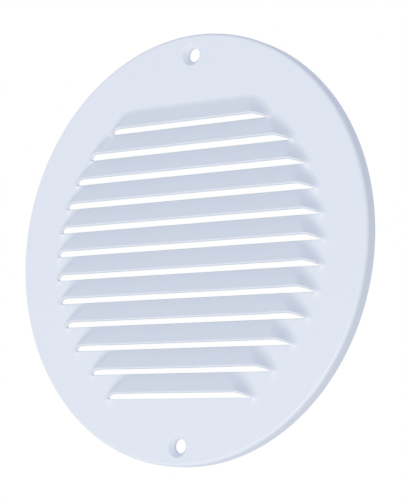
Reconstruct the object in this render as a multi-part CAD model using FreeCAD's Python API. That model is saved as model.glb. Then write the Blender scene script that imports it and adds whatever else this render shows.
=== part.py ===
import FreeCAD, Part
import math
import os

# Round louvred vent cover, pressed from one disc of coated sheet.
# Millimetres. X runs along the louvres, Z is up, the cover faces -Y.
# The origin is the centre of the wall plane, where the rim's rear edge rests.

# Disc and turned-back rim
COVER_DIAMETER = 160.0
SHEET = 1.0
RIM_DEPTH = 4.8
RIM_BEND_RADIUS = 1.9
RIM_BEND_FLAT_COUNT = 8
RIM_INSIDE_FLAT_COUNT = 4

# Louvre field: equal strips, whose straight runs end on one circle but keep a shortest length
LOUVRE_COUNT = 12
LOUVRE_PITCH = 9.13
FIELD_MIDDLE_Z = -0.5
FIELD_RADIUS = 58.2
FIELD_CENTRE_Z = -2.6
SHORTEST_RUN = 60.2

# One louvre: a hood pressed outwards over a straight slot, with its mouth down
LIP_REACH = 4.6
LIP_LIFT = 2.05
END_RAMP = 3.0
END_LEAN = 10.0
ROOT_OVERLAP = 0.5

# Two dimpled holes for countersunk screws, in from the cover's edge at its top and bottom
SCREW_EDGE_DISTANCE = 7.5
SCREW_HOLE_DIAMETER = 5.2
DIMPLE_DEPTH = 1.7
DIMPLE_SLOPE_DEG = 45.0
DIMPLE_EDGE_RADIUS = 0.4

# Distance by which a cutting tool passes the faces that it cuts
TOOL_MARGIN = 1.0

COVER_RADIUS = COVER_DIAMETER / 2
FACE_Y = -RIM_DEPTH
FACE_BACK_Y = FACE_Y + SHEET
LOUVRE_HEIGHT = LOUVRE_PITCH + ROOT_OVERLAP
FIRST_SLOT_Z = FIELD_MIDDLE_Z + LOUVRE_PITCH * (LOUVRE_COUNT / 2 - 1)
MOUTH_SLOPE = LIP_LIFT / LIP_REACH
SCREW_Z = COVER_RADIUS - SCREW_EDGE_DISTANCE


def at(x, y, z):
    return FreeCAD.Vector(x, y, z)


# A hood's front leans out at FRONT_ANGLE, and each of its ends is half of a right cone.
# The cone's apex is on the front's plane at slot height. Front and cone run together without
# a crease along the fold, which leans in towards the root, and the cone passes through the
# tip of the slot. Directions are those of the right-hand end.
FRONT_ANGLE = math.atan(LIP_REACH / (LOUVRE_HEIGHT - LIP_LIFT))
APEX_REACH = LOUVRE_HEIGHT * math.tan(FRONT_ANGLE)
FOLD = at(-END_LEAN, APEX_REACH, LOUVRE_HEIGHT).normalize()
BEHIND_FRONT = at(0, math.cos(FRONT_ANGLE), -math.sin(FRONT_ANGLE))
TO_TIP = at(END_RAMP, APEX_REACH, 0).normalize()
CONE_HALF_ANGLE = math.atan((1 - TO_TIP.dot(FOLD)) / TO_TIP.dot(BEHIND_FRONT))
CONE_AXIS = FOLD * math.cos(CONE_HALF_ANGLE) + BEHIND_FRONT * math.sin(CONE_HALF_ANGLE)
TOWARDS_FOLD = FOLD * math.sin(CONE_HALF_ANGLE) - BEHIND_FRONT * math.cos(CONE_HALF_ANGLE)
REAR_SIDE = CONE_AXIS * math.cos(CONE_HALF_ANGLE) - TOWARDS_FOLD * math.sin(CONE_HALF_ANGLE)


def bend_points(radius, flats):
    """Points of the rim's bend, from the face round to the side, about one centre."""
    points = []
    for step in range(flats + 1):
        turn = math.pi / 2 * step / flats
        across = COVER_RADIUS - RIM_BEND_RADIUS + radius * math.sin(turn)
        depth = FACE_Y + RIM_BEND_RADIUS - radius * math.cos(turn)
        points.append(at(across, depth, 0))
    return points


def face_and_rim():
    """Flat disc with its edge turned back to the wall."""
    outer_bend = bend_points(RIM_BEND_RADIUS, RIM_BEND_FLAT_COUNT)
    inner_bend = bend_points(RIM_BEND_RADIUS - SHEET, RIM_INSIDE_FLAT_COUNT)
    outside = [at(0, FACE_Y, 0)] + outer_bend + [at(COVER_RADIUS, 0, 0)]
    inside = [at(0, FACE_BACK_Y, 0)] + inner_bend + [at(COVER_RADIUS - SHEET, 0, 0)]
    section = Part.makePolygon(outside + inside[::-1] + outside[:1])
    return Part.Face(section).revolve(at(0, 0, 0), at(0, 1, 0), 360)


def sunk_cone(centre_z, start_y, start_radius, end_y, end_radius):
    start = at(0, start_y, centre_z)
    return Part.makeCone(start_radius, end_radius, end_y - start_y, start, at(0, 1, 0))


def add_screw_dimples(sheet):
    """Sheet dished around each screw hole, so that a countersunk head sits flush."""
    hole_radius = SCREW_HOLE_DIAMETER / 2
    slope_angle = math.radians(DIMPLE_SLOPE_DEG)
    widening = DIMPLE_DEPTH / math.tan(slope_angle)
    mouth_radius = hole_radius + widening
    back_radius = mouth_radius + SHEET * math.tan(slope_angle / 2)
    floor_y = FACE_Y + DIMPLE_DEPTH
    bosses = []
    cuts = []
    for centre_z in (SCREW_Z, -SCREW_Z):
        bosses.append(sunk_cone(centre_z, FACE_BACK_Y, back_radius, floor_y + SHEET, back_radius - widening))
        cuts.append(sunk_cone(centre_z, FACE_Y, mouth_radius, floor_y, hole_radius))
        start = at(0, FACE_Y, centre_z)
        cuts.append(Part.makeCylinder(hole_radius, RIM_DEPTH, start, at(0, 1, 0)))
    dished = sheet.fuse(bosses).cut(cuts)
    mouths = []
    for edge in dished.Edges:
        box = edge.BoundBox
        on_face = abs(box.YMin - FACE_Y) + abs(box.YMax - FACE_Y) < SHEET / 2
        if on_face and abs(box.XLength - 2 * mouth_radius) < SHEET / 2:
            mouths.append(edge)
    return dished.makeFillet(DIMPLE_EDGE_RADIUS, mouths)


def ridge(foot_y, apex):
    """Straight ridge along X that rises to -Y, with half a right cone at each end."""
    reach = foot_y - apex.y
    right = [apex, apex + FOLD * (reach / FOLD.y), apex + REAR_SIDE * (reach / REAR_SIDE.y)]
    left = [at(-point.x, point.y, point.z) for point in right]
    outlines = [right, left]
    for side in range(3):
        outlines.append([right[side - 1], right[side], left[side], left[side - 1]])
    faces = [Part.Face(Part.makePolygon(points + points[:1])) for points in outlines]
    straight = Part.Solid(Part.Shell(faces))
    length = 2 * LOUVRE_HEIGHT
    radius = length * math.tan(CONE_HALF_ANGLE)
    cone = Part.makeCone(0, radius, length, at(0, 0, 0), at(0, 0, 1), 180)
    turn = FreeCAD.Rotation(TOWARDS_FOLD, CONE_AXIS.cross(TOWARDS_FOLD), CONE_AXIS)
    cone.Placement = FreeCAD.Placement(apex, turn)
    before_foot = Part.makeBox(2 * COVER_DIAMETER, reach, 2 * COVER_DIAMETER)
    before_foot.translate(at(-COVER_DIAMETER, apex.y, -COVER_DIAMETER))
    right_end = cone.common(before_foot)
    left_end = right_end.mirror(at(0, 0, 0), at(1, 0, 0))
    return straight.fuse([right_end, left_end])


def below_mouth(slot_z, mouth_slope):
    """Space under a louvre: below its slot, and in front below the plane of its mouth."""
    rear_y = FACE_BACK_Y + 2 * TOOL_MARGIN
    front_y = FACE_Y - APEX_REACH - TOOL_MARGIN
    mouth_z = slot_z + mouth_slope * (FACE_Y - front_y)
    low_z = slot_z - 2 * LOUVRE_HEIGHT
    left_x = -COVER_RADIUS
    outline = Part.makePolygon([
        at(left_x, rear_y, slot_z),
        at(left_x, FACE_Y, slot_z),
        at(left_x, front_y, mouth_z),
        at(left_x, front_y, low_z),
        at(left_x, rear_y, low_z),
        at(left_x, rear_y, slot_z),
    ])
    return Part.Face(outline).extrude(at(COVER_DIAMETER, 0, 0))


def straight_half_length(slot_z):
    """Half the length of a louvre's straight run, between its two ends."""
    half_squared = FIELD_RADIUS ** 2 - (slot_z - FIELD_CENTRE_Z) ** 2
    return math.sqrt(max(half_squared, (SHORTEST_RUN / 2) ** 2))


def hood_corner(slot_z):
    return at(straight_half_length(slot_z), FACE_Y - APEX_REACH, slot_z)


def hood(slot_z):
    """Outer form of one louvre, still filled, with its foot in the sheet."""
    form = ridge(FACE_Y + SHEET / 2, hood_corner(slot_z))
    return form.cut(below_mouth(slot_z, MOUTH_SLOPE))


def hood_hollow(slot_z):
    """Space inside one louvre, one sheet thickness in, down to the slot's lower edge."""
    inset = CONE_AXIS * (SHEET / math.sin(CONE_HALF_ANGLE))
    form = ridge(FACE_BACK_Y + TOOL_MARGIN, hood_corner(slot_z) + inset)
    return form.cut(below_mouth(slot_z, 0))


def vent_cover():
    slots = [FIRST_SLOT_Z - LOUVRE_PITCH * index for index in range(LOUVRE_COUNT)]
    blank = add_screw_dimples(face_and_rim())
    hoods = [hood(slot_z) for slot_z in slots]
    hollows = [hood_hollow(slot_z) for slot_z in slots]
    return blank.fuse(hoods).cut(hollows).removeSplitter()


os.makedirs("parts", exist_ok=True)
cover = vent_cover()
cover.exportStep("parts/vent_cover.step")
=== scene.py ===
import math

import bmesh
import bpy
from mathutils import Matrix, Vector


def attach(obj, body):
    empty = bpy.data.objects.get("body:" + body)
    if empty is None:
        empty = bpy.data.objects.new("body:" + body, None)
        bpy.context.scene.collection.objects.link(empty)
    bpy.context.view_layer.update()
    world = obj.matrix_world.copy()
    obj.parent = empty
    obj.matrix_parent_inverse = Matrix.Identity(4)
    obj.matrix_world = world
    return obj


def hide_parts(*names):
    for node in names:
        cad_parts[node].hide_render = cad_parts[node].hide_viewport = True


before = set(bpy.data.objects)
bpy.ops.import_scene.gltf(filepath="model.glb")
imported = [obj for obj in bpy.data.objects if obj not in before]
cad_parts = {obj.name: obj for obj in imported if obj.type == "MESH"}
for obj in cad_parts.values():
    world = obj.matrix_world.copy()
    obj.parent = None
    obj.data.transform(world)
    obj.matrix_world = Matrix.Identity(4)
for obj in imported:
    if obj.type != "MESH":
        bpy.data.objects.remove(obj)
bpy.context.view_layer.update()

# Louvre field. The real one is a band of aluminium sheet, slit along straight lines and pressed
# outwards above each slit into a hood: a leaning flat front that falls away softly at each end,
# with its mouth down so that rain stays out.

# Millimetres. X runs along the louvres, Z is up, the cover faces -Y, and Y is 0 at the wall.
MM = 0.001
sheet_thickness = 1.0
face_y = -4.8

# Slots: equally spaced, with straight runs that end on one circle but keep a shortest length.
louvre_count = 12
louvre_pitch = 9.13
field_middle_z = -0.5
field_radius = 58.2
field_centre_z = -2.6
shortest_run = 60.2
end_ramp = 3.0

# Hood fronts: each leans back from its lip to a root just above the next slot. The top hood is
# a little shorter, and the round of the coat lifts each lip's edge.
lip_reach = 4.6
lip_lift = 2.05
lip_edge_round = 0.2
root_overlap = 0.5
top_root_drop = 1.0
root_bend_rise = 0.6
valley_rise = 0.5

# Hood ends: the front falls to the sheet over end_width, about a line that leans in above the
# slot, and the two sides of the slot come together over tip_reach.
end_width = 7.4
end_shift = 0.4
end_slant = 0.6
end_curve = 60.0
tip_reach = 2.2
least_off_slot = 1e-6

front_slope = lip_reach / (louvre_pitch + root_overlap - lip_lift)
mouth_slope = (lip_lift + lip_edge_round) / lip_reach
hood_roots = [louvre_pitch + root_overlap] * louvre_count
hood_roots[0] -= top_root_drop
first_slot_z = field_middle_z + louvre_pitch * (louvre_count / 2 - 1)
slot_heights = [first_slot_z - louvre_pitch * index for index in range(louvre_count)]
slot_tips = []
for slot_z in slot_heights:
    half_squared = field_radius ** 2 - (slot_z - field_centre_z) ** 2
    straight_half = math.sqrt(max(half_squared, (shortest_run / 2) ** 2))
    slot_tips.append(straight_half + end_ramp)


def hood_height(root, past_tip, above):
    """Height of a hood, with a soft bend at its root, from the distance past its tip and above its slot."""
    height = front_slope * (root - above)
    if height <= -root_bend_rise:
        return 0.0
    if height < root_bend_rise:
        height = (height + root_bend_rise) ** 2 / (4 * root_bend_rise)
    past_end = past_tip + end_shift + above * (end_slant + above / end_curve)
    share = min(max(0.5 - past_end / end_width, 0.0), 1.0)
    return height * share ** 2 * (3 - 2 * share)


def hood_rise(louvre, x, z, side):
    """Height of the sheet that one hood pulls out, on the upper (1) or lower (-1) side of its slot."""
    past_tip = abs(x) - slot_tips[louvre]
    off_slot = max(side * (z - slot_heights[louvre]), least_off_slot)
    rise = hood_height(hood_roots[louvre], past_tip, off_slot if side > 0 else 0.0)
    # Like those of a crack, the slot's sides part with the square root of the distance from its tip.
    turn = math.atan2(off_slot, past_tip)
    parting = math.sin(turn / 2) * math.sqrt(math.hypot(past_tip, off_slot) / tip_reach)
    return rise * (0.5 + 0.5 * side * math.sin(math.pi / 2 * min(parting, 1.0)))


def sheet_rise(strip, x, z):
    """Height of the pressed sheet in the strip above one slot, where neighbouring hoods run together."""
    rises = [0.0, 0.0]
    for louvre, side in ((strip - 1, -1), (strip, 1), (strip + 1, 1)):
        if 0 <= louvre < louvre_count:
            rises.append(hood_rise(louvre, x, z, side))
    second, highest = sorted(rises)[-2:]
    # The crease between the two highest is rounded.
    if second > 0:
        valley = min(valley_rise, second)
        highest += max(valley - (highest - second), 0.0) ** 2 / (4 * valley)
    return highest


# Mesh columns run from slot tip to slot tip, so that each slot ends on a vertex. They crowd
# towards the tips, and the columns past a tip run on to the edge of the field.
middle_columns = 4
middle_share = 0.4
tip_columns = 48
edge_columns = 74
tip_crowding = 1.6
edge_crowding = 1.4
edge_margin = 7.0
bottom_strip_height = 7.0
line_heights = slot_heights + [slot_heights[-1] - bottom_strip_height]
line_tips = slot_tips + slot_tips[-1:]


def column_x(line, column):
    """Place along X of a mesh column on the line of one slot."""
    tip = line_tips[max(line, 0)]
    reach = abs(column)
    if reach <= middle_columns:
        x = tip * middle_share * reach / middle_columns
    elif reach <= tip_columns:
        share_left = (tip_columns - reach) / (tip_columns - middle_columns)
        x = tip * (1 - (1 - middle_share) * share_left ** tip_crowding)
    else:
        widest = tip
        if 0 <= line < louvre_count:
            widest = max(line_tips[max(line - 1, 0):line + 2])
        share = (reach - tip_columns) / (edge_columns - tip_columns)
        x = tip + (widest + edge_margin - tip) * share ** edge_crowding
    return math.copysign(x, column)


# The lip's edge depends on its own reach, so its height is found by closing in on it.
mouth_turns = 40


def lip_edge_z(louvre, x):
    """Height of a lip's lower edge, where the front meets the slope of the mouth."""
    slot_z = slot_heights[louvre]
    sill = sheet_rise(louvre + 1, x, slot_z)
    z = slot_z
    for _ in range(mouth_turns):
        opening = max(sheet_rise(louvre, x, z) - sill, 0.0)
        z += (slot_z + mouth_slope * opening - z) / 2
    return z


# Mesh rows of a strip, as shares of the way up to the next slot. They crowd at lips and roots.
between_slots = [0.0, 0.03, 0.06, 0.1, 0.15, 0.21, 0.28, 0.36, 0.45]
between_slots += [0.54, 0.63, 0.71, 0.78, 0.84, 0.89, 0.93, 0.965, 1.0]
above_top_slot = between_slots + [1.025, 1.05, 1.075, 1.1, 1.14, 1.2, 1.28]
below_bottom_slot = [0.0, 0.15, 0.3, 0.45, 0.58, 0.7, 0.8, 0.87, 0.92, 0.96, 0.99, 1.0]
strip_steps = [above_top_slot] + [between_slots] * (louvre_count - 1) + [below_bottom_slot]

# Each column stands upright past the lip and then leans to the next slot's tip. Beyond the tips,
# neighbouring strips share the vertices of the line between them.
cover = bmesh.new()
columns = range(-edge_columns, edge_columns + 1)
front_rows = []
for strip, steps in enumerate(strip_steps):
    low_z = line_heights[strip]
    high_z = line_heights[strip - 1] if strip else low_z + louvre_pitch
    upright_z = low_z + lip_lift + 2 * lip_edge_round
    rows = [[] for _ in steps]
    for column in columns:
        past_slot_end = abs(column) >= tip_columns
        low_x = column_x(strip, column)
        high_x = column_x(strip - 1, column)
        start_z = low_z
        if not past_slot_end and strip < louvre_count:
            start_z = lip_edge_z(strip, low_x)
        for row, step in zip(rows, steps):
            if step == 1.0 and strip and past_slot_end:
                row.append(front_rows[-1][0][column + edge_columns])
                continue
            z = start_z + (high_z - start_z) * step
            x = low_x + (high_x - low_x) * max(z - upright_z, 0.0) / (high_z - upright_z)
            rise = sheet_rise(strip, x, z)
            row.append(cover.verts.new((x * MM, (face_y - rise) * MM, z * MM)))
    for lower, upper in zip(rows, rows[1:]):
        for index in range(len(columns) - 1):
            cover.faces.new((lower[index], lower[index + 1], upper[index + 1], upper[index]))
    front_rows.append(rows)

# The field's outline, clockwise from its upper left corner as seen from the front.
outline = list(front_rows[0][-1])
left_side = []
for rows in front_rows:
    for row in reversed(rows[:-1]):
        outline.append(row[-1])
        left_side.append(row[0])
outline += reversed(front_rows[-1][0][:-1])
outline += reversed(left_side[:-1])
on_outline = set(outline)

# The back of the field is the same surface, one sheet thickness behind it along evened-out
# directions, and the sheared edges of the slots join the two.
evening_turns = 6
cover.normal_update()
inward = {vertex: -vertex.normal for vertex in cover.verts}
for _ in range(evening_turns):
    evened = {}
    for vertex in cover.verts:
        directions = [inward[edge.other_vert(vertex)] for edge in vertex.link_edges]
        evened[vertex] = sum(directions, inward[vertex]).normalized()
    inward = evened
for vertex in on_outline:
    inward[vertex] = Vector((0, 1, 0))
front_faces = list(cover.faces)
slot_edges = []
for edge in cover.edges:
    if edge.is_boundary and not on_outline.issuperset(edge.verts):
        slot_edges.append(edge)
behind = {}
for vertex in list(cover.verts):
    behind[vertex] = cover.verts.new(vertex.co + inward[vertex] * sheet_thickness * MM)
for face in front_faces:
    cover.faces.new([behind[vertex] for vertex in reversed(face.verts)])
for edge in slot_edges:
    first, second = edge.verts
    cover.faces.new((first, second, behind[second], behind[first]))

# Turned-back rim and screw dimples. The rim is the same sheet, folded back all round so that its
# rear edge rests on the wall. Each dimple is pressed around a punched hole, with sides at 45
# degrees, so that a countersunk screw sits flush.
cover_radius = 80.0
rim_bend_radius = 1.3
rim_edge_round = 0.22
screw_z = 72.5
hole_radius = 2.6
hole_edge_round = 0.15
hole_corner_round = 0.04
dimple_depth = 1.7
dimple_edge_radius = 0.6
half_dimple_slope = math.radians(22.5)

# Rows beside a fold keep the faces next to it looking flat. Steps divide a bend, and points
# divide the way round.
fold_row = 0.2
dimple_mouth_row = 0.15
rim_side_rows = (-1.5, -0.5)
rim_bend_steps = 10
rim_inside_steps = 8
rim_edge_steps = 3
dimple_edge_steps = 5
rim_points = 256
dimple_points = 72


def arc(centre, radius, start_deg, end_deg, steps):
    """Points of a bend in a section, as distance from the axis and depth."""
    points = []
    for step in range(steps + 1):
        turn = math.radians(start_deg + (end_deg - start_deg) * step / steps)
        points.append((centre[0] + radius * math.cos(turn), centre[1] + radius * math.sin(turn)))
    return points


def turned(section, centre_z, count):
    """Section swept round an axis along Y; gives back its first and its last ring."""
    rings = []
    for radius, y in section:
        ring = []
        for index in range(count):
            turn = 2 * math.pi * index / count
            place = (radius * math.sin(turn), y, centre_z + radius * math.cos(turn))
            ring.append(cover.verts.new([value * MM for value in place]))
        rings.append(ring)
    for ring, after in zip(rings, rings[1:]):
        for index in range(count):
            following = (index + 1) % count
            cover.faces.new((ring[index], ring[following], after[following], after[index]))
    return rings[0], rings[-1]


back_y = face_y + sheet_thickness
inside_radius = cover_radius - sheet_thickness
bend_centre = (cover_radius - rim_bend_radius, face_y + rim_bend_radius)
outer_edge_centre = (cover_radius - rim_edge_round, -rim_edge_round)
inner_edge_centre = (inside_radius + rim_edge_round, -rim_edge_round)
rim_section = [(bend_centre[0] - fold_row, face_y)]
rim_section += arc(bend_centre, rim_bend_radius, -90, 0, rim_bend_steps)
rim_section += [(cover_radius, y) for y in rim_side_rows]
rim_section += arc(outer_edge_centre, rim_edge_round, 0, 90, rim_edge_steps)
rim_section += arc(inner_edge_centre, rim_edge_round, 90, 180, rim_edge_steps)
rim_section += [(inside_radius, y) for y in reversed(rim_side_rows)]
rim_section += arc(bend_centre, rim_bend_radius - sheet_thickness, 0, -90, rim_inside_steps)
rim_section += [(bend_centre[0] - fold_row, back_y)]
rim_front, rim_back = turned(rim_section, 0.0, rim_points)

mouth_radius = hole_radius + dimple_depth
mouth_edge_reach = dimple_edge_radius * math.tan(half_dimple_slope)
mouth_edge_centre = (mouth_radius + mouth_edge_reach, face_y + dimple_edge_radius)
floor_front_y = face_y + dimple_depth
floor_back_y = floor_front_y + sheet_thickness
boss_radius = hole_radius + sheet_thickness * math.tan(half_dimple_slope)
boss_foot_radius = boss_radius + dimple_depth
dimple_section = [(mouth_edge_centre[0] + dimple_mouth_row, face_y)]
dimple_section += arc(mouth_edge_centre, dimple_edge_radius, -90, -135, dimple_edge_steps)
dimple_section += [
    (hole_radius + 2 * hole_edge_round, floor_front_y - 2 * hole_edge_round),
    (hole_radius + hole_corner_round, floor_front_y - hole_corner_round),
    (hole_radius, floor_front_y + 2 * hole_edge_round),
    (hole_radius, floor_back_y - hole_edge_round),
    (hole_radius + hole_edge_round, floor_back_y),
    (boss_radius, floor_back_y),
    (boss_radius + fold_row, floor_back_y - fold_row),
    (boss_foot_radius - fold_row, back_y + fold_row),
    (boss_foot_radius, back_y),
    (boss_foot_radius + fold_row, back_y),
]
front_loops = [outline, rim_front]
back_loops = [[behind[vertex] for vertex in outline], rim_back]
for centre_z in (screw_z, -screw_z):
    dimple_front, dimple_back = turned(dimple_section, centre_z, dimple_points)
    front_loops.append(dimple_front)
    back_loops.append(dimple_back)

# Flat sheet. It is the part of the disc that the press leaves as it was, and it joins the louvre
# field, the rim and the dimples into one piece, front and back.
for loops in (front_loops, back_loops):
    border = []
    for loop in loops:
        for first, second in zip(loop, loop[1:] + loop[:1]):
            border.append(cover.edges.get((first, second)) or cover.edges.new((first, second)))
    bmesh.ops.triangle_fill(cover, use_beauty=True, use_dissolve=False, edges=border)

bmesh.ops.recalc_face_normals(cover, faces=cover.faces)
for face in cover.faces:
    face.smooth = True
cover_mesh = bpy.data.meshes.new("pressed_vent_cover")
cover.to_mesh(cover_mesh)
cover.free()
vent_cover = bpy.data.objects.new("pressed_vent_cover", cover_mesh)
bpy.context.scene.collection.objects.link(vent_cover)

# White polyester powder coat, sprayed dry onto the pressed sheet and baked, so that it flows
# together into one skin. It gives the eye a satin near-white with soft broad highlights and a
# faint orange peel.
coat_colour = "#E0E7F2"
coat_roughness = 0.42
coat_ior = 1.5
peel_width = 1.4
peel_depth = 0.02
peel_strength = 0.06
peel_detail = 2.0


def linear(hex_colour):
    """Linear colour, with full alpha, of an sRGB hex value."""
    colour = []
    for start in (1, 3, 5):
        value = int(hex_colour[start:start + 2], 16) / 255
        colour.append(value / 12.92 if value <= 0.04045 else ((value + 0.055) / 1.055) ** 2.4)
    return colour + [1.0]


def add_node(tree, kind, inputs, **settings):
    """Adds one node with its settings; an input is a value, or another node's output socket."""
    node = tree.nodes.new(kind)
    for name, value in settings.items():
        setattr(node, name, value)
    for name, value in inputs.items():
        if isinstance(value, bpy.types.NodeSocket):
            tree.links.new(value, node.inputs[name])
        else:
            node.inputs[name].default_value = value
    return node


powder_coat = bpy.data.materials.new("white_powder_coat_satin")
powder_coat.use_nodes = True
coat_tree = powder_coat.node_tree
coat_tree.nodes.clear()
on_sheet = add_node(coat_tree, "ShaderNodeTexCoord", {})
peel = add_node(coat_tree, "ShaderNodeTexNoise", {
    "Vector": on_sheet.outputs["Object"],
    "Scale": 1 / (peel_width * MM),
    "Detail": peel_detail,
})
peel_bump = add_node(coat_tree, "ShaderNodeBump", {
    "Strength": peel_strength,
    "Distance": peel_depth * MM,
    "Height": peel.outputs["Fac"],
})
coat = add_node(coat_tree, "ShaderNodeBsdfPrincipled", {
    "Base Color": linear(coat_colour),
    "Roughness": coat_roughness,
    "IOR": coat_ior,
    "Normal": peel_bump.outputs["Normal"],
})
add_node(coat_tree, "ShaderNodeOutputMaterial", {"Surface": coat.outputs["BSDF"]})
cover_mesh.materials.append(powder_coat)
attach(vent_cover, "root")
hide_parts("vent_cover")

# Studio, in metres: a pale matt floor well below the cover, one broad soft lamp that stands low in
# front, and a surround that looks white. Its light on the cover is warm from below, and bluer and
# dimmer from above.
floor_half = 0.8
floor_z = -0.9
floor_mesh = bpy.data.meshes.new("studio_floor")
around = ((-1, -1), (1, -1), (1, 1), (-1, 1))
floor_corners = [(x * floor_half, y * floor_half, floor_z) for x, y in around]
floor_mesh.from_pydata(floor_corners, [], [(0, 1, 2, 3)])
floor = bpy.data.objects.new("studio_floor", floor_mesh)
bpy.context.scene.collection.objects.link(floor)
floor_paint = bpy.data.materials.new("pale_studio_floor")
floor_paint.use_nodes = True
paint = floor_paint.node_tree.nodes["Principled BSDF"]
paint.inputs["Base Color"].default_value = linear("#F2F3F5")
paint.inputs["Roughness"].default_value = 0.9
floor_mesh.materials.append(floor_paint)

# The share of the high light goes from a quarter straight below to three quarters straight above.
level_share = 0.5
share_change = 0.25
world = bpy.data.worlds.new("white_surround")
bpy.context.scene.world = world
world.use_nodes = True
sky = world.node_tree
sky.nodes.clear()
direction = add_node(sky, "ShaderNodeTexCoord", {})
tilt = add_node(sky, "ShaderNodeVectorMath", {
    0: direction.outputs["Generated"],
    1: (0.0, 0.0, share_change),
}, operation="DOT_PRODUCT")
high_share = add_node(sky, "ShaderNodeMath", {0: tilt.outputs["Value"], 1: level_share}, operation="ADD")
low_light = add_node(sky, "ShaderNodeBackground", {"Color": linear("#FFFAE5"), "Strength": 1.203})
high_light = add_node(sky, "ShaderNodeBackground", {"Color": linear("#94B5FF"), "Strength": 0.52})
soft_fill = add_node(sky, "ShaderNodeMixShader", {
    0: high_share.outputs[0],
    1: low_light.outputs[0],
    2: high_light.outputs[0],
})

# The camera, reflections and clear pieces see plain white instead.
white_ground = add_node(sky, "ShaderNodeBackground", {"Color": linear("#FFFFFF"), "Strength": 1.0})
ray = add_node(sky, "ShaderNodeLightPath", {})
seen = add_node(sky, "ShaderNodeMath", {
    0: ray.outputs["Is Camera Ray"],
    1: ray.outputs["Is Glossy Ray"],
}, operation="MAXIMUM")
seen_or_through = add_node(sky, "ShaderNodeMath", {
    0: seen.outputs[0],
    1: ray.outputs["Is Transmission Ray"],
}, operation="MAXIMUM")
surround = add_node(sky, "ShaderNodeMixShader", {
    0: seen_or_through.outputs[0],
    1: soft_fill.outputs[0],
    2: white_ground.outputs[0],
})
add_node(sky, "ShaderNodeOutputWorld", {"Surface": surround.outputs[0]})

key = bpy.data.lights.new("low_soft_key", "AREA")
key.shape = "RECTANGLE"
key.size = 1.4
key.size_y = 0.9
key.energy = 15.5
key.color = linear("#FFF6E6")[:3]
key_lamp = bpy.data.objects.new("low_soft_key", key)
key_lamp.location = (0.0, -1.75, -0.84)
key_lamp.rotation_euler = (-key_lamp.location).to_track_quat("-Z", "Y").to_euler()
bpy.context.scene.collection.objects.link(key_lamp)

# Camera, in metres and degrees. It stands where the photograph was taken from: to the right of
# the cover and a little below it, with a long lens, and rolled a little about its line of sight.
camera_place = (0.44884, -0.56582, -0.09724)
yaw = math.radians(38.176)
pitch = math.radians(7.652)
roll = math.radians(1.990)
forward = Vector((-math.sin(yaw) * math.cos(pitch), math.cos(yaw) * math.cos(pitch), math.sin(pitch)))
level = Vector((math.cos(yaw), math.sin(yaw), 0.0))
right = level * math.cos(roll) + level.cross(forward) * math.sin(roll)
up = right.cross(forward)
facing = Matrix((right, up, -forward)).transposed()
lens = bpy.data.cameras.new("photo_camera")
lens.lens = 142.39
lens.sensor_width = 36.0
camera = bpy.data.objects.new("photo_camera", lens)
camera.matrix_world = Matrix.Translation(camera_place) @ facing.to_4x4()
bpy.context.scene.collection.objects.link(camera)
bpy.context.scene.camera = camera
bpy.context.scene.view_settings.view_transform = "Standard"
